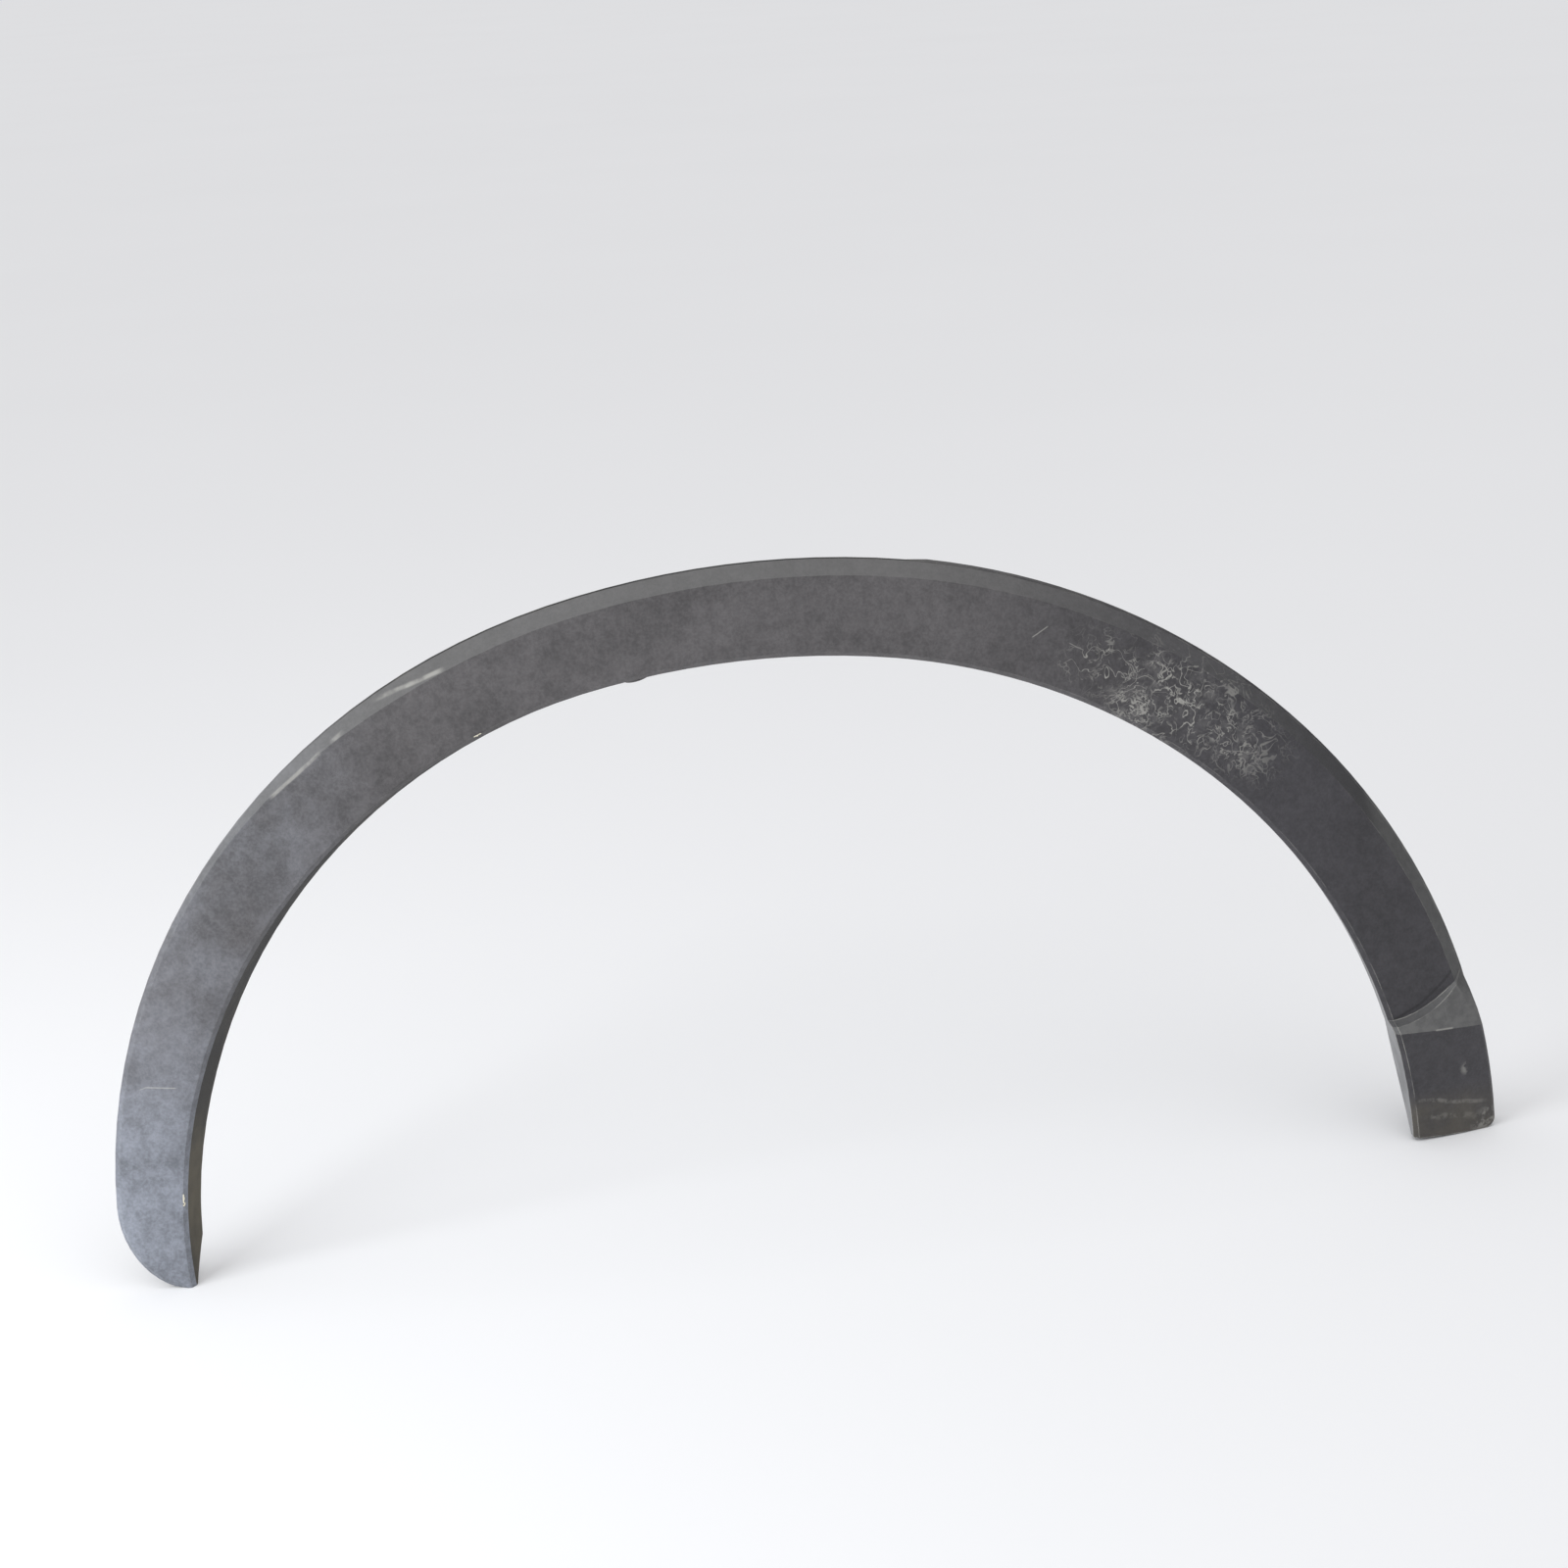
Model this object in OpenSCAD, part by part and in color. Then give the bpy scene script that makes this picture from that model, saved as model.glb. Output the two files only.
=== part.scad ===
// Wheel arch trim: a thin-walled moulding that edges the wheel opening of a car,
// with the push-in clips that hold it, seated in the towers on its back.
// X runs along the car, -Y is the visible outer face and +Z is up.
// The sections of the moulding lie on rays from a pole at the height of the feet.
// The origin is the root of the locating peg at the crown.

/* [Wheel opening] */
// Height of the opening at its crown, above the feet
opening_h = 388.5; // [370:0.5:410]
// Radius of the opening across the crown
crown_r = 528; // [490:1:570]
// Radius of the opening down the left leg
left_r = 363; // [350:1:380]
// Radius of the opening down the right leg
right_r = 425; // [410:1:440]
// Sideways place of the crown's highest point
apex_x = -34; // [-45:1:-25]
// Turn of the crown arc to the left of its highest point, in degrees
crown_left_turn = 12; // [10:0.5:14]
// Turn of the crown arc to the right of its highest point, in degrees
crown_right_turn = 9; // [7:0.5:12]

/* [Band] */
// Width of the band at the right foot
right_w = 59.5; // [54:0.5:66]
// Width of the band at the crown
crown_w = 56.4; // [52:0.2:64]
// Width of the band at the left foot
left_w = 40.5; // [38:0.5:46]
// Swell of the band over the left shoulder
shoulder_swell = 2.4; // [0:0.2:4]
// Thickness of the moulded wall
wall = 2.6; // [2:0.1:3]
// Fall of the face towards its outer edge, in degrees
face_fall = 10; // [6:0.5:12]
// Rise of the middle of the face above a flat one
face_bulge = 1.2; // [0:0.1:2]
// Width of the bevel that turns the face into the return flange
bevel = 3; // [2.4:0.1:4]

/* [Outer edge] */
// Width of the slope along the outer edge, crown and right side
slope_w = 9; // [7:0.5:11]
// Width of the slope along the outer edge, left leg
slope_left_w = 3; // [2.4:0.1:4]
// Steepness of that slope, in degrees
slope_angle = 45; // [38:1:52]
// Depth of the rim behind the slope
rim_depth = 4; // [3.6:0.1:7]
// Step of the outer lip, from the notch to the right foot
lip = 1.3; // [0.8:0.1:3]
// Thickness of the outer lip
lip_t = 2; // [1.2:0.1:2.4]
// Distance of the notch to the right of the crown's highest point
notch_x = 102; // [70:1:150]
// Length of the notch's ramp
notch_len = 13; // [8:1:25]

/* [Return flange] */
// Depth of the return flange, left shoulder and crown
flange_depth = 36; // [30:1:42]
// Depth of the return flange at the foot of the left leg
flange_left_depth = 26; // [20:1:36]
// Depth of the return flange, right leg
flange_right_depth = 15; // [13:1:20]
// Lean of the flange into the opening, left leg and crown, in degrees
flange_lean = 16; // [8:0.5:20]
// Lean of the flange into the opening, right leg, in degrees
flange_right_lean = -4; // [-8:0.5:4]

/* [Left foot] */
// Height of the rounded end of the left leg
leaf_h = 58; // [48:1:70]
// Depth of the flange at the left tip
leaf_flange = 5; // [4:1:20]
// Height over which the flange tapers to that depth
leaf_taper_h = 27; // [15:1:40]

/* [Right foot] */
// Height of the riser at the inner edge
riser_in_h = 91; // [88:1:100]
// Height of the riser at the outer edge
riser_out_h = 118; // [112:1:128]
// Step of the riser at the inner edge
riser_step = 5.5; // [3:0.1:7]
// Length of the riser's slope at the inner edge
riser_run = 3; // [2:0.1:3.6]
// Length of the riser's slope at the outer edge
riser_out_run = 0.8; // [0.5:0.1:2]
// Height of the ridge at the inner edge
ridge_in_h = 84; // [76:0.5:84]
// Height of the ridge at the outer edge
ridge_out_h = 79.5; // [76:0.5:94]
// Stand of the ridge in front of the face line
ridge_stand = 8.5; // [7:0.1:10]
// Stand of the bottom edge in front of the face line
foot_stand = 4; // [2:0.1:7]
// Width of the small bevel down the foot's outer edge
foot_bevel = 1.8; // [1:0.1:2.6]
// Radius of the foot's outer bottom corner
foot_corner = 7; // [5:0.5:10]
// Depth of the flange at the bottom of the right foot
foot_flange = 3; // [2:0.5:8]
// Height over which the flange tapers to that depth
foot_taper_h = 60; // [40:1:70]
// Swell of the flange's depth between the foot's bottom and the riser
foot_swell = 10; // [0:0.5:12]
// Rise of the foot's bottom edge towards the opening
foot_rise = 2.5; // [0:0.1:4]

/* [Clip towers] */
// Number of retaining clips
n_clips = 8; // [6:1:9]
// Angle of the first clip, on the right leg, in degrees
first_clip = 22; // [21:0.5:26]
// Angle of the last clip, on the left leg, in degrees
last_clip = 167; // [160:0.5:168]
// Size of a tower along the band
tower_len = 24; // [21:1:28]
// Size of a tower across the band
tower_w = 20; // [18:0.5:22]
// Height of a tower behind the face
tower_h = 12; // [11:0.5:14]
// Thickness of a tower's walls
tower_wall = 2; // [1.6:0.1:2.2]
// Thickness of a tower's seat for the clip
seat_t = 2.2; // [1.8:0.1:2.8]

/* [Clips] */
// Diameter of a clip's head
clip_head_d = 13; // [11:0.5:13.5]
// Thickness of a clip's head
clip_head_t = 1.8; // [1.4:0.1:2.2]
// Diameter of a clip's neck
clip_neck_d = 6.4; // [5.8:0.2:7]
// Diameter of a clip's collar
clip_collar_d = 18; // [16:0.5:19]
// Thickness of a clip's collar
clip_collar_t = 1.2; // [1:0.1:1.6]
// Diameter of a clip's shank
clip_shank_d = 5.6; // [5:0.2:6.2]
// Diameter over a clip's barbs
clip_barb_d = 8.8; // [8:0.2:10]
// Length of a clip's shank behind its collar
clip_len = 16; // [14:0.5:20]
// Number of barbs on a clip
n_barbs = 3; // [2:1:4]
// Play between a clip and its seat
clip_play = 0.15; // [0.1:0.05:0.3]

/* [Pegs and screws] */
// Diameter of a locating peg
peg_d = 6; // [5:0.5:8]
// Length of a locating peg
peg_len = 10; // [8:1:14]
// Diameter of a peg's boss
boss_d = 11; // [10:0.5:13]
// Distance of a boss's end behind the face
boss_h = 14; // [12:0.5:16]
// Distance between the two screw holes at the crown
screw_spacing = 150; // [110:1:160]
// Diameter of a screw hole
screw_d = 5.5; // [4.5:0.1:6.5]
// Depth of the screw holes behind the face's inner edge
screw_y = 18.5; // [17:0.5:19]
// Diameter of the flat seat round a screw hole
pad_d = 12; // [11:0.5:13]
// Thickness of that seat
pad_t = 3; // [2:0.1:4]

/* [Ribs] */
// Number of cross ribs between two towers
ribs_between = 2; // [1:1:3]
// Thickness of a rib
rib_t = 1.6; // [1.2:0.1:2]
// Height of a rib at the return flange, behind the bevel
rib_h = 12; // [8:0.5:16]

/* [Hidden] */
trim_black = [0.27, 0.27, 0.29];
clip_white = [0.86, 0.85, 0.80];

// Kinds of section, from the left tip to the bottom of the right foot
LEAF = 0;
BAND = 1;
NEAR = 2;
RISER = 3;
WEDGE = 4;
BLOCK = 5;

// Steps of the face between its inner edge and the slope
face_steps = 6;
// Sideways place of the pole that the sections turn about
pole_x = -25;
// Angle at which the sections start to swing towards the riser's curve
near_angle = 19;
// Furthest turn round the leaf-shaped left end, in degrees
tip_turn = 80;
// Power of the riser's upward curve
riser_curve = 1.6;
// Power of the forward curve of the outer edge beside the riser
edge_curve = 1.5;
// Angles between which the return flange changes from right leg to crown
flange_change = [20, 120];
// Angles between which it gets shallower again down the left leg
flange_left_change = [156, 178];
// Angles between which the slope on the outer edge narrows
slope_change = [118, 143];
// Angle at which the swell over the left shoulder starts
shoulder_start = 110;
// Front thickness of an end wall, where the hollow closes
closing = 0.8;
// Depth over which the front of the outer lip rises
lip_ramp = 0.6;
// Widest share of the leaf-shaped end that its slope takes
leaf_share = 0.7;
// Narrowest hollow at the left tip, and the turn over which it closes, in degrees
closing_w = 2;
closing_turn = 1.5;
// A rib ends this far in front of the edges of the flange and the rim
rib_low = 1;
// A gusset ends this far below the end of its boss
gusset_low = 2;
// A screw's seat lies this far beyond the slope of the flange round it
pad_rise = 1;
// Plain length before a clip's first barb, steep side of a barb, and end behind the last barb
barb_start = 2;
barb_edge = 0.5;
clip_end = 1;
// Taper of a clip's tip, hub round its collar, and width and start of the slit between its legs
tip_taper = 1.4;
collar_hub = 1;
slit = 1.2;
slit_start = 1.5;
// What stands on the back is sunk this far into the wall
sink = wall / 2;
// The slot in a tower's seat is this much wider than the clip's neck
slot_play = 0.4;
// A cut runs this far past the surface it goes through
past = 1;

function dir(a) = [cos(a), sin(a)];
function angle_of(p) = atan2(p[1], p[0]);
function mix(a, b, t) = a + (b - a) * t;
function ease(t) = let (u = min(1, max(0, t))) u * u * (3 - 2 * u);
function between(a, ends) = ease((a - ends[0]) / (ends[1] - ends[0]));

// The opening is three tangent arcs, seen from the pole
crown_c = [apex_x - pole_x, opening_h - crown_r];
left_dir = dir(90 + crown_left_turn);
right_dir = dir(90 - crown_right_turn);
left_c = crown_c + (crown_r - left_r) * left_dir;
right_c = crown_c + (crown_r - right_r) * right_dir;
left_join = angle_of(crown_c + crown_r * left_dir);
right_join = angle_of(crown_c + crown_r * right_dir);

function to_arc(c, r, a) = let (b = c * dir(a)) b + sqrt(r * r - c * c + b * b);
function opening(a) =
    a > left_join ? to_arc(left_c, left_r, a)
    : a < right_join ? to_arc(right_c, right_r, a)
    : to_arc(crown_c, crown_r, a);

// Full width of the band, a parabola through its three widths and the swell over the shoulder
function shoulder(a) = let (t = (a - shoulder_start) / (180 - shoulder_start))
    shoulder_swell * pow(sin(180 * min(1, max(0, t))), 2);
function band(a) = let (t = a / 180)
    right_w * (1 - t) * (1 - 2 * t) + 4 * crown_w * t * (1 - t) + left_w * t * (2 * t - 1)
    + shoulder(a);

// Right foot: the lines across the band, as an angle at each fraction p of the width
function foot_angle(z, p) = asin(z / (opening(near_angle / 2) + p * band(near_angle / 2)));
function riser_z(p) = mix(riser_in_h, riser_out_h, pow(p, riser_curve));
function riser_angle(p) = foot_angle(riser_z(p), p);
function top_angle(p) = foot_angle(riser_z(p) - mix(riser_run, riser_out_run, pow(p, 4)), p);
function ridge_angle(p) = foot_angle(mix(ridge_in_h, ridge_out_h, p), p);

// Left foot: the leaf-shaped end is a quarter of an ellipse, walked by its turn
leaf_r = opening(180) + left_w;
function leaf_angle(turn) = 180 - asin(leaf_h * (1 - sin(turn) / sin(tip_turn)) / leaf_r);

// A section is [kind, place, closed]; this is its angle at the fraction p of the width
function angle(s, p) =
    s[0] == LEAF ? leaf_angle(s[1])
    : s[0] == BAND ? s[1]
    : s[0] == NEAR ? mix(near_angle, riser_angle(p), s[1])
    : s[0] == RISER ? mix(riser_angle(p), top_angle(p), s[1])
    : s[0] == WEDGE ? mix(top_angle(p), ridge_angle(p), s[1])
    : mix(ridge_angle(p), foot_angle(foot_rise * (1 - p), p), s[1]);

function corner_cut(s) = let (u = max(0, 1 - (1 - s[1]) * ridge_out_h / foot_corner))
    foot_corner * (1 - sqrt(1 - u * u));
function width(s, a) =
    s[0] == LEAF ? band(a) * cos(s[1])
    : s[0] == BLOCK ? band(a) - corner_cut(s)
    : band(a);

// Width and fall of the slope along the outer edge
function slope(a) = mix(slope_w, slope_left_w, between(a, slope_change));
function leaf_slope(s, a) =
    min(slope(a) * sqrt(1 + pow(band(a) * tan(s[1]) / leaf_h, 2)), leaf_share * width(s, a));
function edge_w(s, a) =
    s[0] == LEAF ? leaf_slope(s, a)
    : s[0] == WEDGE ? mix(slope(a), foot_bevel, s[1])
    : s[0] == BLOCK ? foot_bevel
    : slope(a);

// Depth of the face at the fraction p of the width
function plain_y(w, p) = tan(face_fall) * w * p - 4 * face_bulge * w / crown_w * p * (1 - p);
function step_y(p) = riser_step * (1 - pow(p, 3));
function face_y(s, w, p) = plain_y(w, p) - (
    s[0] == RISER ? step_y(p) * s[1]
    : s[0] == WEDGE ? mix(step_y(p), ridge_stand, s[1])
    : s[0] == BLOCK ? mix(ridge_stand, foot_stand, s[1])
    : 0);

// Depth of the outer edge's front and back
function plain_edge_y(w, a, p) = plain_y(w, p) + slope(a) * tan(slope_angle);
function outer_y(s, w, a, p) =
    s[0] == WEDGE ? mix(plain_edge_y(w, a, p), plain_y(w, p) - ridge_stand + foot_bevel,
        1 - pow(1 - s[1], edge_curve))
    : s[0] == BLOCK ? face_y(s, w, p) + foot_bevel
    : plain_edge_y(w, a, p);
function back_y(w, a, p) = plain_edge_y(w, a, p) + rim_depth;

// The lip starts at the notch and runs to the right foot
outer_crown = opening(right_join) + band(right_join);
notch_start = acos((apex_x + notch_x - pole_x) / outer_crown);
notch_end = acos((apex_x + notch_x + notch_len - pole_x) / outer_crown);
function lip_at(a) = lip * min(1, max(0, (notch_start - a) / (notch_start - notch_end)));

// Back edge and lean of the return flange
function full_flange(a) = mix(
    mix(flange_right_depth, flange_depth, between(a, flange_change)),
    flange_left_depth,
    between(a, flange_left_change));
function foot_swell_at(z) = let (t = min(1, z / riser_in_h)) 4 * foot_swell * t * (1 - t);
function flange_y(a) = let (z = opening(a) * sin(a))
    a > 90 ? mix(leaf_flange, full_flange(a), min(1, z / leaf_taper_h))
    : mix(foot_flange, full_flange(a), min(1, z / foot_taper_h)) + foot_swell_at(z);
function lean(a) = mix(flange_right_lean, flange_lean, between(a, flange_change));
function flange_r(a, y) = opening(a) - bevel - tan(lean(a)) * (y - bevel);

// Outer skin of a section, from the flange's back edge round the face to the rim's back edge,
// each point as [radius, depth, angle]
function skin(s) =
    let (
        a0 = angle(s, 0),
        y0 = face_y(s, width(s, a0), 0),
        root = opening(a0) - bevel,
        a1 = angle(s, 1),
        w1 = width(s, a1),
        outer = opening(a1) + w1,
        crease = 1 - edge_w(s, a1) / w1,
        back = back_y(w1, a1, crease)
    )
    concat(
        [[root - tan(lean(a0)) * (flange_y(a0) - y0 - bevel), flange_y(a0), a0]],
        [[root, y0 + bevel, a0]],
        [for (k = [0:face_steps]) let (p = crease * k / face_steps, a = angle(s, p), w = width(s, a))
            [opening(a) + p * w, face_y(s, w, p), a]],
        [[outer, outer_y(s, w1, a1, crease), a1]],
        [[outer, back - lip_t - lip_ramp, a1]],
        [[outer + lip_at(a1), back - lip_t, a1]],
        [[outer + lip_at(a1), back, a1]]
    );

// Moves the corner b of the line a-b-c sideways by d, towards the hollow
function unit(v) = v / norm(v);
function side(a, b) = let (v = unit([b[0] - a[0], b[1] - a[1]])) [-v[1], v[0]];
function inset(a, b, c, d) = let (m = side(a, b), n = side(b, c), k = d / (1 + m * n))
    [b[0] + (m[0] + n[0]) * k, b[1] + (m[1] + n[1]) * k, b[2]];

// Inner skin at the depth d below the outer one, in the same order
last_bend = face_steps + 3;
function lining(o, d) = let (first = o[0], end = o[len(o) - 1], rim = o[last_bend])
    concat(
        [[first[0] + d / cos(lean(first[2])), first[1], first[2]]],
        [for (k = [1:last_bend]) inset(o[k - 1], o[k], o[k + 1], d)],
        [[rim[0] - d, end[1], end[2]]]
    );

// Where the moulding is closed, the lining lies along the line across its back
function closed_lining(o) = let (first = o[0], end = o[len(o) - 1], n = last_bend + 2)
    [for (k = [1:n]) mix(first, end, k / (n + 1))];
function section(s) = let (o = skin(s), i = s[2] ? closed_lining(o) : lining(o, wall))
    concat(o, [for (k = [len(i) - 1:-1:0]) i[k]]);
function place(p) = [pole_x + p[0] * cos(p[2]), p[1], p[0] * sin(p[2])];

// The sections, from the left tip to the bottom of the right foot
hollow_turn = acos((3 * wall + bevel + slope_left_w + closing_w) / left_w);
leaf_steps = 9;
band_steps = 38;
crown_steps = 30;
block_steps = 5;
leaf_top = leaf_angle(0);
function block_at(z) = 1 - z / ridge_out_h;
sections = concat(
    [for (k = [0:2]) [LEAF, mix(tip_turn, hollow_turn + closing_turn, k / 2), true]],
    [for (k = [0:leaf_steps]) [LEAF, hollow_turn * (1 - k / leaf_steps), false]],
    [for (k = [1:band_steps]) [BAND, mix(leaf_top, notch_start, k / band_steps), false]],
    [for (k = [1:3]) [BAND, mix(notch_start, notch_end, k / 3), false]],
    [for (k = [1:crown_steps]) [BAND, mix(notch_end, near_angle, k / crown_steps), false]],
    [for (t = [0.3, 0.6, 0.85, 1]) [NEAR, t, false]],
    [for (t = [0.5, 1]) [RISER, t, false]],
    [for (t = [0.35, 0.7, 1]) [WEDGE, t, false]],
    [for (k = [1:block_steps]) [BLOCK, block_at(mix(ridge_out_h, foot_corner, k / block_steps)), false]],
    [for (z = [mix(foot_corner, wall + closing, 0.5), wall + closing]) [BLOCK, block_at(z), false]],
    [for (z = [wall, wall / 2, wall / 5, 0]) [BLOCK, block_at(z), true]]
);

// Skin of the moulding: one closed surface through all sections
module shell() {
    rings = [for (s = sections) section(s)];
    n = len(rings[0]);
    m = len(rings);
    points = [for (ring = rings, p = ring) place(p)];
    sides = [for (j = [0:m - 2], k = [0:n - 1])
        let (a = j * n + k, b = j * n + (k + 1) % n) each [[a, b, b + n], [a, b + n, a + n]]];
    lined = last_bend + 2;
    last_end = concat(
        [for (k = [0:lined - 2]) each [[k, k + 1, n - 1 - k], [k + 1, n - 2 - k, n - 1 - k]]],
        [[lined - 1, lined, lined + 2], [lined, lined + 1, lined + 2]]
    );
    ends = concat(
        [for (f = last_end) [f[2], f[1], f[0]]],
        [for (f = last_end) [for (k = f) (m - 1) * n + k]]
    );
    polyhedron(points, concat(sides, ends), convexity = 12);
}

// Angles of the clips, the ribs and the pegs
clip_step = (last_clip - first_clip) / (n_clips - 1);
clip_angles = [for (i = [0:n_clips - 1]) first_clip + i * clip_step];
crown_peg_angle = first_clip + (floor(n_clips / 2) - 0.5) * clip_step;
left_peg_angle = last_clip - 1.5 * clip_step;

// Middle of the face at the angle a, and the depth of the face there
function mid_p(a) = (1 - slope(a) / band(a)) / 2;
function mid_r(a) = opening(a) + mid_p(a) * band(a);
function mid_y(a) = plain_y(band(a), mid_p(a));
module at_angle(a) {
    rotate([0, -a, 0]) translate([mid_r(a), mid_y(a), 0]) children();
}

// Everything in front of the middle of the face's wall, near the origin of at_angle
module face_side() {
    size = 3 * tower_len;
    translate([0, sink, 0]) rotate([0, 0, face_fall])
        translate([-size / 2, -size, -size / 2]) cube(size);
}

module clip_tower() {
    inner_w = tower_w - 2 * tower_wall;
    slot_d = clip_neck_d + slot_play;
    difference() {
        translate([-tower_w / 2, -tower_h, -tower_len / 2]) cube([tower_w, 2 * tower_h, tower_len]);
        face_side();
        translate([-inner_w / 2, -tower_h - past, tower_wall - tower_len / 2])
            cube([inner_w, 2 * tower_h + past - seat_t, tower_len]);
        rotate([90, 0, 0]) cylinder(h = 4 * tower_h, d = slot_d, center = true, $fn = 48);
        translate([-slot_d / 2, 0, 0]) cube([slot_d, tower_h + past, tower_len]);
    }
}

// A boss with a round peg, stiffened by two gussets along the band
module peg() {
    gusset = [rib_t, 2 * (boss_h - gusset_low), 2 * boss_d];
    translate([0, boss_h / 2, 0]) rotate([-90, 0, 0])
        cylinder(h = boss_h / 2 + peg_len, d = peg_d, $fn = 64);
    difference() {
        union() {
            rotate([-90, 0, 0]) translate([0, 0, -boss_h]) cylinder(h = 2 * boss_h, d = boss_d, $fn = 64);
            cube(gusset, center = true);
        }
        face_side();
    }
}

// Cross rib at the angle a: it fills the section up to a straight line across the back
module rib(a) {
    o = skin([BAND, a, false]);
    front = lining(o, sink);
    rim = o[len(o) - 1];
    rib_y = min(bevel + rib_h, flange_y(a) - rib_low);
    outline = concat(
        [[flange_r(a, rib_y) + sink, rib_y]],
        [for (k = [1:last_bend]) [front[k][0], front[k][1]]],
        [[o[last_bend][0] - sink, rim[1] - rib_low]]
    );
    rotate([0, -a, 0]) linear_extrude(rib_t, center = true) polygon(outline);
}

// Screw holes through the flange at the crown: each has a flat seat, sunk into the flange from
// the opening's side, in a cup on its hidden side, and all the seats lie at one height
screw_xs = [apex_x - screw_spacing / 2, apex_x + screw_spacing / 2];
function screw_angle(x) = acos((x - pole_x) / flange_r(90, screw_y));
function screw_z(x) = flange_r(screw_angle(x), screw_y) * sin(screw_angle(x));
seat_z = max([for (x = screw_xs) screw_z(x)]) + pad_d / 2 * tan(flange_lean) + pad_rise;
module screw_cup(x) {
    a = screw_angle(x);
    size = 4 * pad_d;
    difference() {
        translate([x, screw_y, seat_z + pad_t - pad_d])
            cylinder(h = pad_d, d = pad_d + 2 * wall, $fn = 64);
        translate([x, screw_y, screw_z(x)]) rotate([0, -a, lean(a)])
            translate([sink - size, -size / 2, -size / 2]) cube(size);
    }
}
module screw_hole(x) {
    translate([x, screw_y, seat_z - pad_d]) cylinder(h = pad_d, d = pad_d, $fn = 64);
    translate([x, screw_y, seat_z - past]) cylinder(h = pad_t + 2 * past, d = screw_d, $fn = 64);
}

// Moves the part so that the root of the crown peg is the origin
module from_peg() {
    a = crown_peg_angle;
    translate([-pole_x - mid_r(a) * cos(a), -mid_y(a) - boss_h, -mid_r(a) * sin(a)]) children();
}

// The moulding: skin, ribs, towers, pegs and screw seats in one piece
module arch_trim() {
    color(trim_black) from_peg() difference() {
        union() {
            shell();
            for (i = [0:n_clips - 2], k = [1:ribs_between])
                translate([pole_x, 0, 0])
                    rib(clip_angles[i] + clip_step * (k - 0.5) / ribs_between);
            for (a = clip_angles) translate([pole_x, 0, 0]) at_angle(a) clip_tower();
            for (a = [crown_peg_angle, left_peg_angle]) translate([pole_x, 0, 0]) at_angle(a) peg();
            for (x = screw_xs) screw_cup(x);
        }
        for (x = screw_xs) screw_hole(x);
    }
}

// Push-in clip: head, neck, collar and a barbed shank split into two legs
module retaining_clip(i) {
    head_r = clip_head_d / 2;
    neck_r = clip_neck_d / 2;
    collar_r = clip_collar_d / 2;
    shank_r = clip_shank_d / 2;
    barb_r = clip_barb_d / 2;
    head_z = -seat_t - clip_play;
    collar_z = clip_play;
    shank_z = collar_z + clip_collar_t;
    barb_step = (clip_len - barb_start - clip_end) / n_barbs;
    outline = concat(
        [[0, head_z - clip_head_t], [head_r, head_z - clip_head_t], [head_r, head_z]],
        [[neck_r, head_z], [neck_r, collar_z]],
        [[collar_r, collar_z], [collar_r, collar_z + clip_collar_t / 2], [neck_r + collar_hub, shank_z]],
        [[shank_r, shank_z]],
        [for (k = [0:n_barbs - 1]) let (z = shank_z + barb_start + k * barb_step)
            each [[shank_r, z], [barb_r, z + barb_edge], [shank_r, z + barb_step - barb_edge]]],
        [[shank_r - tip_taper, shank_z + clip_len], [0, shank_z + clip_len]]
    );
    color(clip_white) from_peg() translate([pole_x, 0, 0]) at_angle(clip_angles[i - 1])
        translate([0, tower_h, 0]) rotate([-90, 0, 0]) difference() {
            rotate_extrude($fn = 64) polygon(outline);
            translate([-barb_r - past, -slit / 2, shank_z + slit_start])
                cube([2 * (barb_r + past), slit, clip_len]);
        }
}

arch_trim();
for (i = [1:n_clips])
    retaining_clip(i);
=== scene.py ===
import math

import bpy
from mathutils import Matrix, Vector


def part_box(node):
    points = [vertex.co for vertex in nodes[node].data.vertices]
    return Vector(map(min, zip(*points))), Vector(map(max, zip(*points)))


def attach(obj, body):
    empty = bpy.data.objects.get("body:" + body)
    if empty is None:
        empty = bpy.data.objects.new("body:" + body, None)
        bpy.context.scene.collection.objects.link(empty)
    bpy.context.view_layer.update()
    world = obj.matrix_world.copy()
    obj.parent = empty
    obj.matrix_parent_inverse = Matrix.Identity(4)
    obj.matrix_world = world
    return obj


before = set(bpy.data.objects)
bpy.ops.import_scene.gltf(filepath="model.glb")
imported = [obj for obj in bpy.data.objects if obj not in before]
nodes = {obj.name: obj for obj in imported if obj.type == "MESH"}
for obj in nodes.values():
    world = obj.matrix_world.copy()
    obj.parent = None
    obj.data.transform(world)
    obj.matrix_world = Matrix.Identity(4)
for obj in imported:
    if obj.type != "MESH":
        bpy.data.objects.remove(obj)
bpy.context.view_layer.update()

trim = nodes["arch_trim"]
clips = [o for name, o in sorted(nodes.items()) if name.startswith("retaining_clip")]
floor_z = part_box("arch_trim")[0].z

MM = 0.001
# Edges of the CAD meshes that turn by more than this stay sharp
SHARP_DEGREES = 14
# How far edges are rounded off in the shading
EDGE_RADIUS = 1.0 * MM


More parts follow.
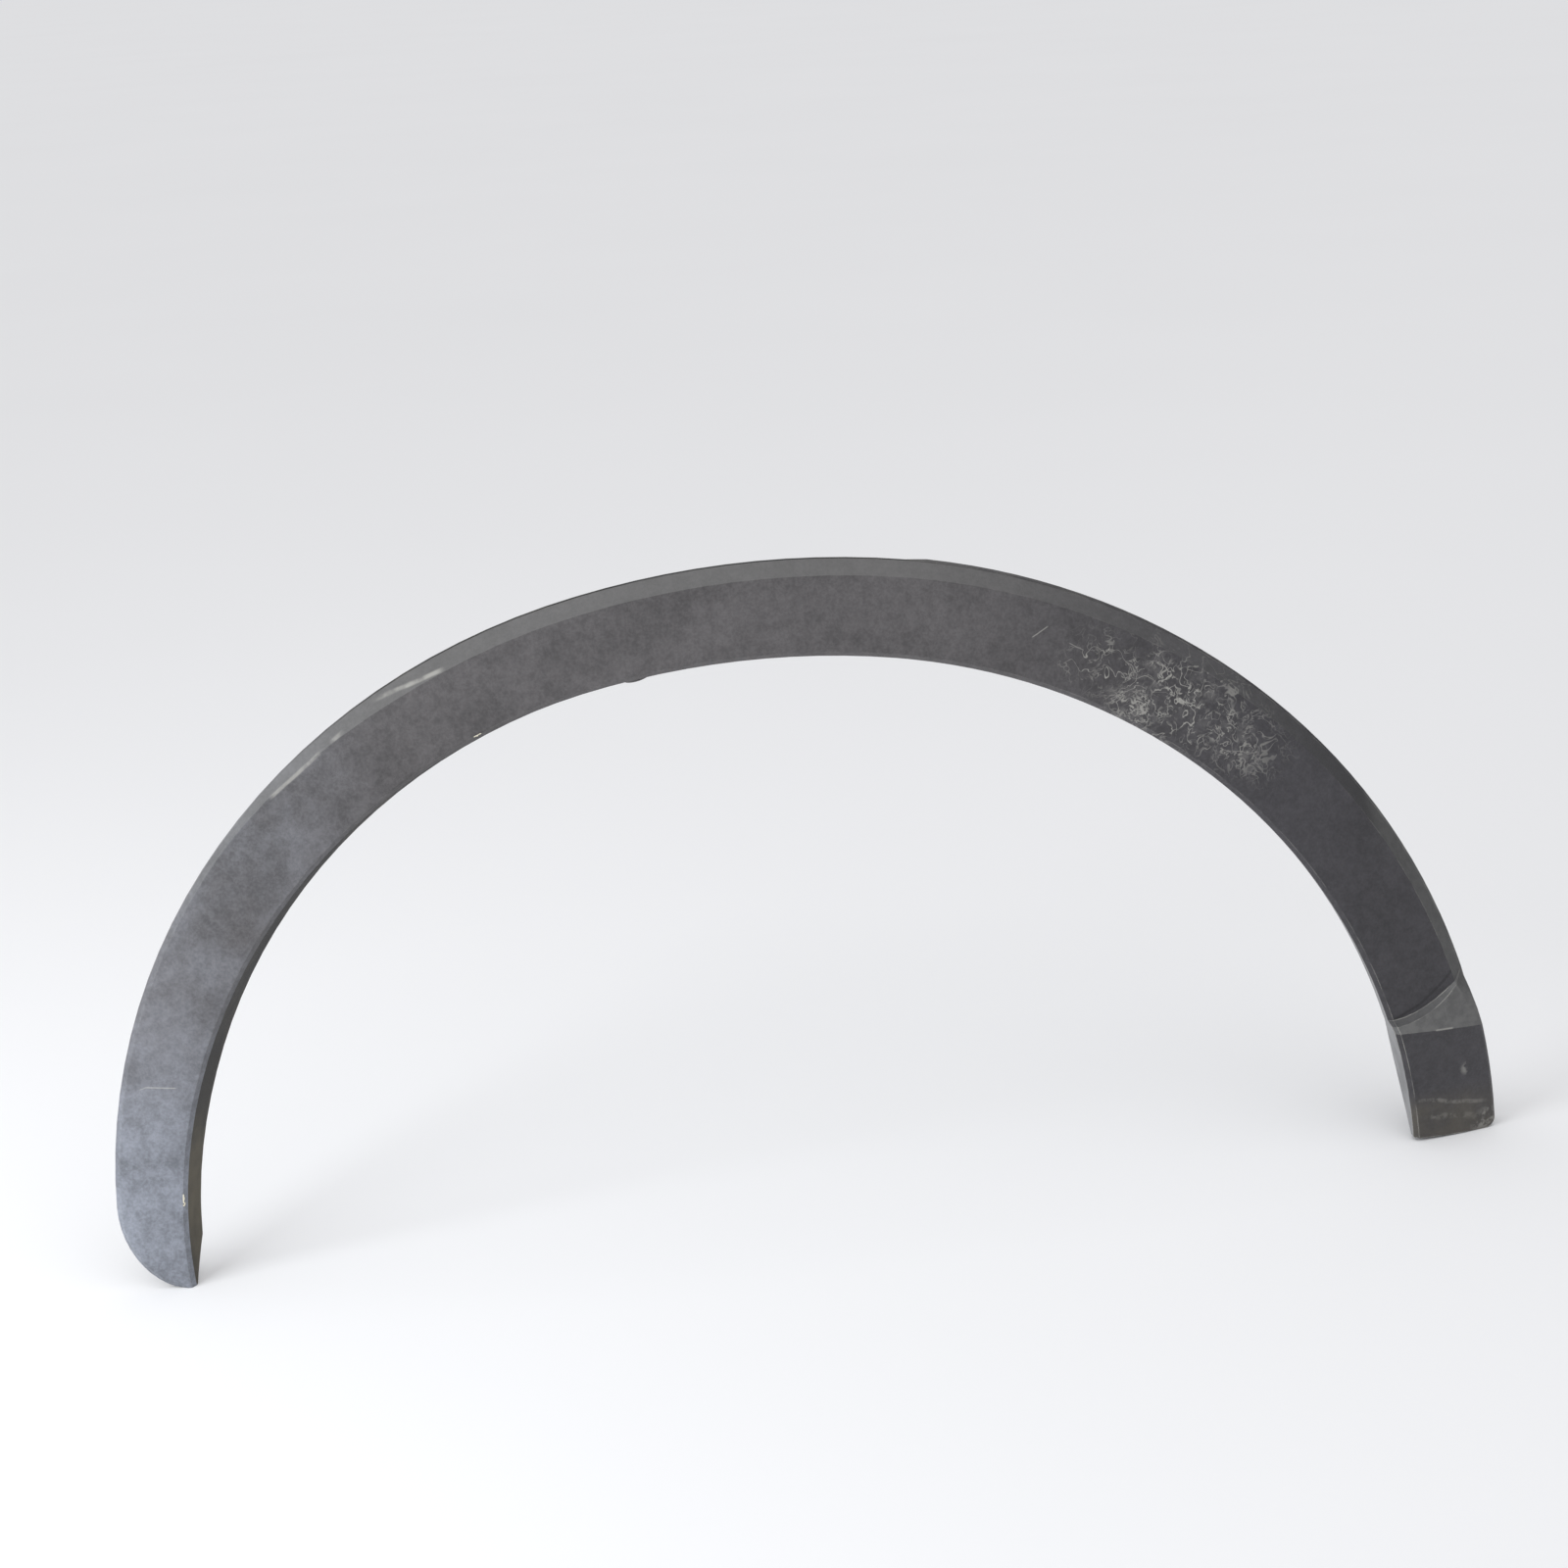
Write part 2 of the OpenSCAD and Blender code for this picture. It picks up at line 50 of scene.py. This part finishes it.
# ---------------------------------------------------------------- node helpers
class Graph:
    """Shader nodes of one material, added and linked by short calls."""

    def __init__(self, name):
        self.material = bpy.data.materials.new(name)
        self.material.use_nodes = True
        self.tree = self.material.node_tree
        self.tree.nodes.clear()

    def add(self, kind, inputs=(), **settings):
        node = self.tree.nodes.new("ShaderNode" + kind)
        for key, value in settings.items():
            setattr(node, key, value)
        for key, value in dict(inputs).items():
            self.set(node.inputs[key], value)
        return node

    def set(self, socket, value):
        if isinstance(value, bpy.types.NodeSocket):
            self.tree.links.new(value, socket)
        else:
            socket.default_value = value

    def math(self, operation, a, b=0.0, c=0.0, clamp=False):
        node = self.add("Math", {0: a, 1: b, 2: c}, operation=operation, use_clamp=clamp)
        return node.outputs[0]

    def vector(self, operation, a, b=(0, 0, 0)):
        node = self.add("VectorMath", {0: a, 1: b}, operation=operation)
        return node.outputs["Value" if operation in ("LENGTH", "DOT_PRODUCT") else "Vector"]

    def ramp(self, value, low, high, out_low=0.0, out_high=1.0):
        """Smooth step of value from low to high."""
        node = self.add(
            "MapRange",
            {"Value": value, "From Min": low, "From Max": high,
             "To Min": out_low, "To Max": out_high},
            interpolation_type="SMOOTHSTEP",
        )
        return node.outputs[0]

    def mix(self, amount, a, b):
        node = self.add("Mix", {0: amount, 6: a, 7: b}, data_type="RGBA")
        return node.outputs[2]

    def noise(self, place, scale, detail=2.0, roughness=0.5, distortion=0.0):
        node = self.add(
            "TexNoise",
            {"Vector": place, "Scale": scale, "Detail": detail,
             "Roughness": roughness, "Distortion": distortion},
        )
        return node.outputs[0]

    def total(self, *values):
        result = values[0]
        for value in values[1:]:
            result = self.math("ADD", result, value)
        return result

    def scaled(self, colour, amount):
        """Colour times amount."""
        node = self.add("VectorMath", {0: colour, "Scale": amount}, operation="SCALE")
        return node.outputs[0]

    def product(self, *values):
        result = values[0]
        for value in values[1:]:
            result = self.math("MULTIPLY", result, value)
        return result


# ---------------------------------------------------------------- trim plastic
# Colours of the plastic: at the right foot, darkened with painted shade; over the crown; at the
# left foot, faded and lightened with painted light from the left; behind the face, darkened with
# painted shade; paler with dust and painted light from above on what looks up; and on walls that
# face left, lightened with painted light
DARK_AND_SHADED = (0.040, 0.038, 0.043, 1.0)
WORN = (0.082, 0.077, 0.079, 1.0)
FADED_AND_LIT = (0.200, 0.215, 0.250, 1.0)
INNER_SHADED = (0.016, 0.015, 0.015, 1.0)
PALE_DUST_AND_TOP_LIGHT = (0.150, 0.150, 0.145, 1.0)
WALL_LIT = (0.290, 0.290, 0.295, 1.0)
# Scratches and rubbed edges, and road dirt
CHALK = (0.47, 0.46, 0.42, 1.0)
DUST = (0.115, 0.100, 0.068, 1.0)

# The crease where the face meets the riser and the slope above the right foot, as (x, z),
# along which a line of painted shade is drawn
CREASE = (
    (0.4461, -0.3199),
    (0.4647, -0.3119),
    (0.4784, -0.3018),
    (0.4874, -0.2942),
    (0.4937, -0.2853),
    (0.4900, -0.2705),
    (0.4812, -0.2482),
)


def trim_plastic():
    g = Graph("trim_plastic")
    place = g.add("TexCoord").outputs["Object"]
    axes = g.add("SeparateXYZ", {0: place}).outputs
    x, z = axes[0], axes[2]
    true = g.add("NewGeometry").outputs["Normal"]
    facing = g.add("SeparateXYZ", {0: true}).outputs
    front = g.ramp(facing[1], -0.35, -0.72)
    hidden = g.math("SUBTRACT", 1.0, front)

    def stroke(start, end, width, wobble=0.0):
        """Soft mark along the straight line from start to end, both as (x, z)."""
        fade_out = 0.08
        length = math.hypot(end[0] - start[0], end[1] - start[1])
        ux, uz = (end[0] - start[0]) / length, (end[1] - start[1]) / length
        dx, dz = g.math("SUBTRACT", x, start[0]), g.math("SUBTRACT", z, start[1])
        along = g.math("ADD", g.product(dx, ux), g.product(dz, uz))
        across = g.math("SUBTRACT", g.product(dx, uz), g.product(dz, ux))
        if wobble:
            bend = g.noise(place, 45.0, 2.0)
            across = g.math("ADD", across, g.math("MULTIPLY_ADD", bend, wobble, -wobble / 2))
        side = g.ramp(g.math("ABSOLUTE", across), width, width * 0.3)
        ends = g.product(
            g.ramp(along, -fade_out * length, fade_out * length),
            g.ramp(along, (1 + fade_out) * length, (1 - fade_out) * length),
        )
        return g.product(side, ends)

    def spot(centre, radii, turn=0.0):
        """Soft ellipse, full in its middle and zero at its edge."""
        c, s = math.cos(math.radians(turn)), math.sin(math.radians(turn))
        dx, dz = g.math("SUBTRACT", x, centre[0]), g.math("SUBTRACT", z, centre[1])
        u = g.math("DIVIDE", g.math("ADD", g.product(dx, c), g.product(dz, s)), radii[0])
        v = g.math("DIVIDE", g.math("SUBTRACT", g.product(dz, c), g.product(dx, s)), radii[1])
        d = g.math("SQRT", g.math("ADD", g.product(u, u), g.product(v, v)))
        return g.ramp(d, 1.0, 0.2)

    def squiggles(scale, width, offset):
        """Thin curling lines, the contours of a noise, broken up by a coarser one."""
        moved = g.vector("ADD", place, offset)
        value = g.noise(moved, scale, 2.0, 0.5, 0.9)
        off = g.math("ABSOLUTE", g.math("SUBTRACT", value, 0.5))
        broken = g.ramp(g.noise(moved, scale * 0.7, 1.0), 0.42, 0.56)
        return g.product(g.ramp(off, width, width * 0.3), broken)

    def most(*values):
        result = values[0]
        for value in values[1:]:
            result = g.math("MAXIMUM", result, value)
        return result

    # Darkest at the right foot, worn grey over the crown, faded bluish down the left leg: the
    # fall from pale left to dark right is partly the plastic's own fading and partly painted
    # light from the left, strongest low on the left leg, and painted shade towards the right foot
    clouds = g.noise(place, 10.0, 3.0, 0.55)
    blotches = g.noise(place, 30.0, 3.0, 0.55)
    mottle = g.noise(place, 150.0, 4.0, 0.65)
    fleck = g.noise(place, 520.0, 2.0, 0.6)
    left_leg = g.ramp(x, -0.20, -0.30)
    downward = g.ramp(z, -0.20, -0.37)
    uneven = g.math("MULTIPLY_ADD", blotches, 1.0, -0.5)
    fade_and_light = g.math("ADD", g.product(left_leg, 0.22), g.product(left_leg, downward, 0.78))
    fade_and_light = g.math("ADD", fade_and_light, g.product(left_leg, uneven, 0.55), clamp=True)
    colour = g.mix(fade_and_light, g.mix(g.ramp(x, 0.38, 0.12), DARK_AND_SHADED, WORN), FADED_AND_LIT)
    stain = g.total(
        1.0,
        g.math("MULTIPLY_ADD", g.ramp(clouds, 0.36, 0.64), 0.16, -0.08),
        g.product(
            g.math("MULTIPLY_ADD", g.ramp(blotches, 0.36, 0.64), 0.26, -0.13),
            g.ramp(x, 0.2, -0.3, 0.6, 0.9),
        ),
        g.math("MULTIPLY_ADD", g.ramp(mottle, 0.36, 0.64), 0.24, -0.12),
        g.math("MULTIPLY_ADD", g.ramp(fleck, 0.34, 0.66), 0.22, -0.11),
    )
    colour = g.scaled(colour, stain)

    # Paler on what looks up, the slope over the crown and the wedge over the foot: partly
    # dust, partly painted light from above
    upward = g.product(g.ramp(facing[2], 0.28, 0.55), g.ramp(facing[1], 0.05, -0.20))
    wedge = g.product(g.ramp(facing[2], 0.10, 0.20), g.ramp(x, 0.425, 0.440), front)
    colour = g.mix(g.product(upward, g.ramp(x, 0.10, 0.30, 0.45, 0.18)), colour, PALE_DUST_AND_TOP_LIGHT)
    colour = g.mix(g.product(wedge, g.ramp(mottle, 0.35, 0.65, 0.50, 0.75)), colour, PALE_DUST_AND_TOP_LIGHT)

    # Painted shade inside the opening and on the back, where the plastic is made darker, and
    # painted light on walls that face left, towards the window
    leftward = g.product(g.ramp(facing[0], -0.45, -0.85), hidden)
    inner_shade_and_light = g.mix(g.product(leftward, g.ramp(blotches, 0.30, 0.60, 0.7, 1.0)), INNER_SHADED, WALL_LIT)
    colour = g.mix(g.product(hidden, g.math("SUBTRACT", 1.0, upward)), colour, inner_shade_and_light)

    # Brown and greenish road dirt inside the opening and on the back
    grime = g.ramp(g.noise(place, 24.0, 5.0, 0.65), 0.46, 0.74)
    left_tip = g.product(g.ramp(x, -0.25, -0.34), g.ramp(z, -0.24, -0.36))
    patchy = g.ramp(blotches, 0.3, 0.6, 0.3, 0.75)
    dirt = g.math("ADD", g.product(grime, 0.25), g.product(left_tip, patchy))
    colour = g.mix(g.product(dirt, hidden, g.math("SUBTRACT", 1.0, leftward)), colour, DUST)

    # The scuffed patch on the right shoulder: dense curls, with finer ones round it
    dense = most(
        spot((0.298, -0.071), (0.046, 0.022), -28),
        spot((0.268, -0.082), (0.030, 0.018), -35),
        g.product(spot((0.334, -0.112), (0.050, 0.022), -48), 0.75),
    )
    strays = spot((0.257, -0.055), (0.055, 0.030), -28)
    loose = most(spot((0.300, -0.082), (0.105, 0.042), -33), g.product(dense, 0.9))
    ragged = g.ramp(g.noise(place, 55.0, 3.0, 0.6), 0.34, 0.62)
    scuff = most(
        g.product(squiggles(85.0, 0.024, (3.1, 0, 0)), loose),
        g.product(squiggles(125.0, 0.030, (0, 0, 7.7)), most(dense, g.product(loose, ragged)), 0.9),
        g.product(squiggles(170.0, 0.034, (0, 5.3, 0)), dense, ragged, 0.9),
        g.product(g.ramp(mottle, 0.42, 0.66), dense, ragged, 0.30),
        g.product(squiggles(60.0, 0.010, (9.4, 0, 2.0)), strays),
    )

    # Single scratches, streaks rubbed along the slope of the left shoulder, and smears on
    # the block at the right foot
    specks = g.ramp(mottle, 0.4, 0.6)
    scratch = most(
        g.product(stroke((0.2023, -0.0286), (0.2128, -0.0231), 0.5 * MM, 1.0 * MM), 0.7),
        g.product(stroke((0.2266, -0.0350), (0.2340, -0.0395), 0.4 * MM, 1.0 * MM), 0.5),
        g.product(stroke((-0.3860, -0.2697), (-0.3670, -0.2711), 0.55 * MM, 0.4 * MM), 0.75),
        g.product(stroke((-0.3900, -0.2712), (-0.3845, -0.2695), 0.5 * MM), 0.5),
        g.product(stroke((-0.2860, -0.0860), (-0.2400, -0.0500), 1.6 * MM, 1.5 * MM), ragged, 0.8),
        g.product(stroke((-0.2160, -0.0310), (-0.1740, -0.0150), 1.7 * MM, 1.5 * MM), ragged, 0.9),
        g.product(stroke((0.4730, -0.3293), (0.4860, -0.3298), 0.9 * MM, 0.5 * MM), 0.6),
        g.product(stroke((0.4620, -0.3800), (0.5110, -0.3900), 2.2 * MM, 6.0 * MM), specks, 0.35),
        g.product(stroke((0.4690, -0.3930), (0.5030, -0.3990), 3.0 * MM, 8.0 * MM), specks, 0.28),
    )
    chalk = g.product(g.math("MAXIMUM", scuff, scratch), front, 0.62)
    colour = g.mix(chalk, colour, CHALK)

    # The block at the right foot is smeared with dust below and scuffed at its corners
    foot = g.product(g.ramp(x, 0.40, 0.44), front)
    smear = g.product(foot, g.ramp(z, -0.370, -0.395), g.ramp(blotches, 0.3, 0.6, 0.35, 1.0))
    colour = g.mix(g.product(smear, 0.45), colour, DUST)
    corner = g.product(
        most(spot((0.513, -0.404), (0.016, 0.011), 35), spot((0.497, -0.362), (0.006, 0.006))),
        g.ramp(mottle, 0.44, 0.60),
    )
    colour = g.mix(g.product(corner, foot, 0.35), colour, CHALK)

    # Painted shade: a dark line along the crease over the foot, and the slope there, which
    # faces right, darkened too
    crease = most(*(stroke(a, b, 1.5 * MM) for a, b in zip(CREASE, CREASE[1:])))
    rightward = g.ramp(facing[0], 0.30, 0.60)
    side = g.product(rightward, g.ramp(x, 0.33, 0.42), g.ramp(z, -0.325, -0.300))
    shade = g.math("MAXIMUM", g.product(crease, front, 0.45), g.product(side, 0.5))
    colour = g.scaled(colour, g.math("SUBTRACT", 1.0, shade))

    # Edges are rubbed paler where the rounded normal leaves the true one
    rounded = g.add("Bevel", {"Radius": EDGE_RADIUS}, samples=6).outputs[0]
    bent = g.math("SUBTRACT", 1.0, g.vector("DOT_PRODUCT", rounded, true))
    strength = g.total(
        0.22,
        g.product(g.ramp(x, 0.15, 0.30), 0.2),
        g.product(g.ramp(x, 0.42, 0.45), 0.55),
    )
    rub = g.product(g.ramp(bent, 0.01, 0.10), g.ramp(g.noise(place, 70.0, 3.0), 0.35, 0.65))
    colour = g.mix(g.product(rub, strength), colour, CHALK)

    # Fine leather-like grain
    pebbles = g.add("TexVoronoi", {"Vector": place, "Scale": 1400.0}, feature="DISTANCE_TO_EDGE")
    grain = g.total(
        g.math("MINIMUM", g.product(pebbles.outputs[0], 2.5), 0.6),
        g.product(g.noise(place, 800.0, 2.0), 0.9),
    )
    bump = g.add(
        "Bump",
        {"Strength": 0.5, "Distance": 0.14 * MM, "Height": grain, "Normal": rounded},
    ).outputs[0]
    roughness = g.total(
        0.50,
        g.product(chalk, 0.25),
        g.math("MULTIPLY_ADD", clouds, 0.16, -0.08),
        g.math("MULTIPLY_ADD", blotches, 0.14, -0.07),
        g.product(hidden, 0.30),
    )
    shader = g.add(
        "BsdfPrincipled",
        {"Base Color": colour, "Roughness": roughness, "Normal": bump, "IOR": 1.5},
    )
    g.add("OutputMaterial", {0: shader.outputs[0]})
    return g.material


def clip_plastic():
    g = Graph("clip_plastic")
    place = g.add("TexCoord").outputs["Object"]
    cloud = g.noise(place, 60.0, 3.0, 0.6)
    grime = g.ramp(g.noise(place, 140.0, 4.0, 0.6), 0.52, 0.75)
    colour = g.mix(cloud, (0.62, 0.60, 0.53, 1.0), (0.74, 0.72, 0.65, 1.0))
    colour = g.mix(g.product(grime, 0.35), colour, (0.30, 0.26, 0.20, 1.0))
    grain = g.noise(place, 800.0, 2.0)
    bump = g.add("Bump", {"Strength": 0.15, "Distance": 0.1 * MM, "Height": grain})
    shader = g.add(
        "BsdfPrincipled",
        {
            "Base Color": colour,
            "Roughness": g.math("MULTIPLY_ADD", cloud, 0.15, 0.36),
            "Normal": bump.outputs[0],
        },
    )
    g.add("OutputMaterial", {0: shader.outputs[0]})
    return g.material


def smooth_by_angle(obj):
    """Smooth shading on the CAD mesh, with edges over SHARP_DEGREES left sharp."""
    tree = bpy.data.node_groups.get("smooth_by_angle")
    if tree is None:
        tree = bpy.data.node_groups.new("smooth_by_angle", "GeometryNodeTree")
        tree.interface.new_socket("Geometry", in_out="INPUT", socket_type="NodeSocketGeometry")
        tree.interface.new_socket("Geometry", in_out="OUTPUT", socket_type="NodeSocketGeometry")
        source = tree.nodes.new("NodeGroupInput")
        merge = tree.nodes.new("GeometryNodeMergeByDistance")
        merge.inputs["Distance"].default_value = 0.002 * MM
        angle = tree.nodes.new("GeometryNodeInputMeshEdgeAngle")
        under = tree.nodes.new("FunctionNodeCompare")
        under.operation = "LESS_THAN"
        under.inputs[1].default_value = math.radians(SHARP_DEGREES)
        faces = tree.nodes.new("GeometryNodeSetShadeSmooth")
        edges = tree.nodes.new("GeometryNodeSetShadeSmooth")
        edges.domain = "EDGE"
        target = tree.nodes.new("NodeGroupOutput")
        link = tree.links.new
        link(source.outputs[0], merge.inputs[0])
        link(merge.outputs[0], faces.inputs[0])
        link(faces.outputs[0], edges.inputs[0])
        link(angle.outputs["Unsigned Angle"], under.inputs[0])
        link(under.outputs[0], edges.inputs["Shade Smooth"])
        link(edges.outputs[0], target.inputs[0])
    modifier = obj.modifiers.new("smooth", "NODES")
    modifier.node_group = tree


plastic = trim_plastic()
nylon = clip_plastic()
trim.data.materials.clear()
trim.data.materials.append(plastic)
for clip in clips:
    clip.data.materials.clear()
    clip.data.materials.append(nylon)
for obj in [trim] + clips:
    smooth_by_angle(obj)


# ---------------------------------------------------------------- fibres caught on the trim
def fibre_finish():
    g = Graph("fibre")
    place = g.add("TexCoord").outputs["Object"]
    tone = g.noise(place, 900.0, 2.0)
    colour = g.mix(tone, (0.62, 0.56, 0.40, 1.0), (0.85, 0.82, 0.70, 1.0))
    shader = g.add("BsdfPrincipled", {"Base Color": colour, "Roughness": 0.7})
    g.add("OutputMaterial", {0: shader.outputs[0]})
    return g.material


# A depth in front of the whole trim, and how far off it a fibre's points start
FRONT_Y = -0.04
FIBRE_START = 4 * MM


def fibre(name, centre, shape, radius):
    """A curled thread that lies on the trim: shape holds its (across, up) points in mm."""
    in_front = Vector((centre[0], FRONT_Y, centre[1]))
    place, normal = trim.closest_point_on_mesh(in_front)[1:3]
    normal = normal.normalized()
    across = Vector((1, 0, 0)) - normal * normal.x
    across.normalize()
    rise = across.cross(normal) * -1
    if rise.z < 0:
        rise.negate()
    curve = bpy.data.curves.new(name, "CURVE")
    curve.dimensions = "3D"
    curve.bevel_depth = radius
    curve.bevel_resolution = 2
    curve.use_fill_caps = True
    curve.resolution_u = 6
    spline = curve.splines.new("NURBS")
    spline.points.add(len(shape) - 1)
    spline.order_u = 4
    spline.use_endpoint_u = True
    for point, (a, b) in zip(spline.points, shape):
        near = place + across * a * MM + rise * b * MM + normal * FIBRE_START
        hit = trim.closest_point_on_mesh(near)[1]
        point.co = (*(hit + normal * radius), 1.0)
    obj = bpy.data.objects.new(name, curve)
    obj.data.materials.append(thread)
    bpy.context.scene.collection.objects.link(obj)
    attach(obj, "root")


thread = fibre_finish()
fibre("fibre_low", (-0.3722, -0.3490),
      ((0.6, 4.5), (-1.0, 3.6), (-1.6, 1.6), (-0.2, 0.2), (1.0, 1.2), (0.8, 2.8), (-0.6, 2.2),
       (-1.2, -0.6), (0.2, -2.2), (1.2, -1.4), (0.6, -3.4), (-1.0, -3.8), (-1.2, -2.6)), 0.38 * MM)
fibre("fibre_high", (-0.1529, -0.0623),
      ((-2.4, -0.6), (-1.2, 0.8), (0.2, 0.4), (0.6, -0.8), (-0.6, -1.2), (-0.4, 0.6), (1.2, 1.2),
       (2.4, 0.4)), 0.25 * MM)


# ---------------------------------------------------------------- floor, light, camera
# The floor reaches so far that its edge stays above the picture
FLOOR_HALF = 400.0
# What the camera sees beyond the floor, about the tone of the floor far away
FAR_TONE = (0.75, 0.75, 0.76, 1.0)
WORLD_COLOUR = (0.97, 0.975, 1.0, 1.0)
WORLD_STRENGTH = 0.55
WINDOW_SIZE = (1.3, 1.8)
WINDOW_POWER = 34
WINDOW_COLOUR = (0.94, 0.97, 1.0)
CEILING_SPREAD = 70
CEILING_STRENGTH = 0.85


def pale_floor():
    g = Graph("pale_floor")
    place = g.add("TexCoord").outputs["Object"]
    tone = g.noise(place, 1.2, 2.0)
    colour = g.mix(tone, (0.92, 0.92, 0.925, 1.0), (0.94, 0.94, 0.945, 1.0))
    shader = g.add("BsdfDiffuse", {"Color": colour, "Roughness": 0.0})
    g.add("OutputMaterial", {0: shader.outputs[0]})
    return g.material


def add_floor():
    corners = ((-1, -1), (1, -1), (1, 1), (-1, 1))
    mesh = bpy.data.meshes.new("floor")
    points = [(a * FLOOR_HALF, b * FLOOR_HALF, floor_z) for a, b in corners]
    mesh.from_pydata(points, [], [(0, 1, 2, 3)])
    floor = bpy.data.objects.new("floor", mesh)
    floor.data.materials.append(pale_floor())
    bpy.context.scene.collection.objects.link(floor)


def aim(obj, place, target):
    obj.location = place
    obj.rotation_mode = "QUATERNION"
    obj.rotation_quaternion = (Vector(target) - Vector(place)).to_track_quat("-Z", "Y")
    bpy.context.scene.collection.objects.link(obj)


def window_light(name, place, target, size, power, colour):
    lamp = bpy.data.lights.new(name, "AREA")
    lamp.shape = "RECTANGLE"
    lamp.size, lamp.size_y = size
    lamp.energy = power
    lamp.color = colour
    aim(bpy.data.objects.new(name, lamp), place, target)


def ceiling_light(name, place, target, spread, strength):
    lamp = bpy.data.lights.new(name, "SUN")
    lamp.angle = math.radians(spread)
    lamp.energy = strength
    aim(bpy.data.objects.new(name, lamp), place, target)


def studio_world():
    """Soft light from all round, which the camera itself sees as FAR_TONE."""
    world = bpy.data.worlds.new("studio")
    bpy.context.scene.world = world
    world.use_nodes = True
    tree = world.node_tree
    light = tree.nodes["Background"]
    light.inputs["Color"].default_value = WORLD_COLOUR
    light.inputs["Strength"].default_value = WORLD_STRENGTH
    seen = tree.nodes.new("ShaderNodeBackground")
    seen.inputs["Color"].default_value = FAR_TONE
    path = tree.nodes.new("ShaderNodeLightPath")
    pick = tree.nodes.new("ShaderNodeMixShader")
    tree.links.new(path.outputs["Is Camera Ray"], pick.inputs[0])
    tree.links.new(light.outputs[0], pick.inputs[1])
    tree.links.new(seen.outputs[0], pick.inputs[2])
    tree.links.new(pick.outputs[0], tree.nodes["World Output"].inputs["Surface"])


add_floor()
studio_world()
window_light(
    "window", (-1.75, -0.95, 0.35), (-0.15, 0.0, -0.15), WINDOW_SIZE, WINDOW_POWER, WINDOW_COLOUR
)
ceiling_light(
    "ceiling", (0.1, -0.9, 2.5), (0.0, 0.0, 0.0), CEILING_SPREAD, CEILING_STRENGTH
)

# The camera stands where the photograph was taken from, as fitted to the picture
CAMERA_PLACE = Vector((-0.1966, -1.7060, 0.4246))
CAMERA_RIGHT = Vector((0.9865, -0.1537, -0.0567))
CAMERA_UP = Vector((0.0995, 0.2872, 0.9527))
SENSOR = 36.0
FOCAL_PIXELS = 2850.0
PHOTO_PIXELS = 1600.0
lens = bpy.data.cameras.new("camera")
lens.sensor_width = SENSOR
lens.lens = SENSOR * FOCAL_PIXELS / PHOTO_PIXELS
lens.clip_start, lens.clip_end = 0.05, 200.0
camera = bpy.data.objects.new("camera", lens)
right = CAMERA_RIGHT.normalized()
back = right.cross(CAMERA_UP).normalized()
up = back.cross(right)
turn = Matrix((right, up, back)).transposed().to_4x4()
camera.matrix_world = Matrix.Translation(CAMERA_PLACE) @ turn
bpy.context.scene.collection.objects.link(camera)
bpy.context.scene.camera = camera
bpy.context.scene.view_settings.view_transform = "Standard"
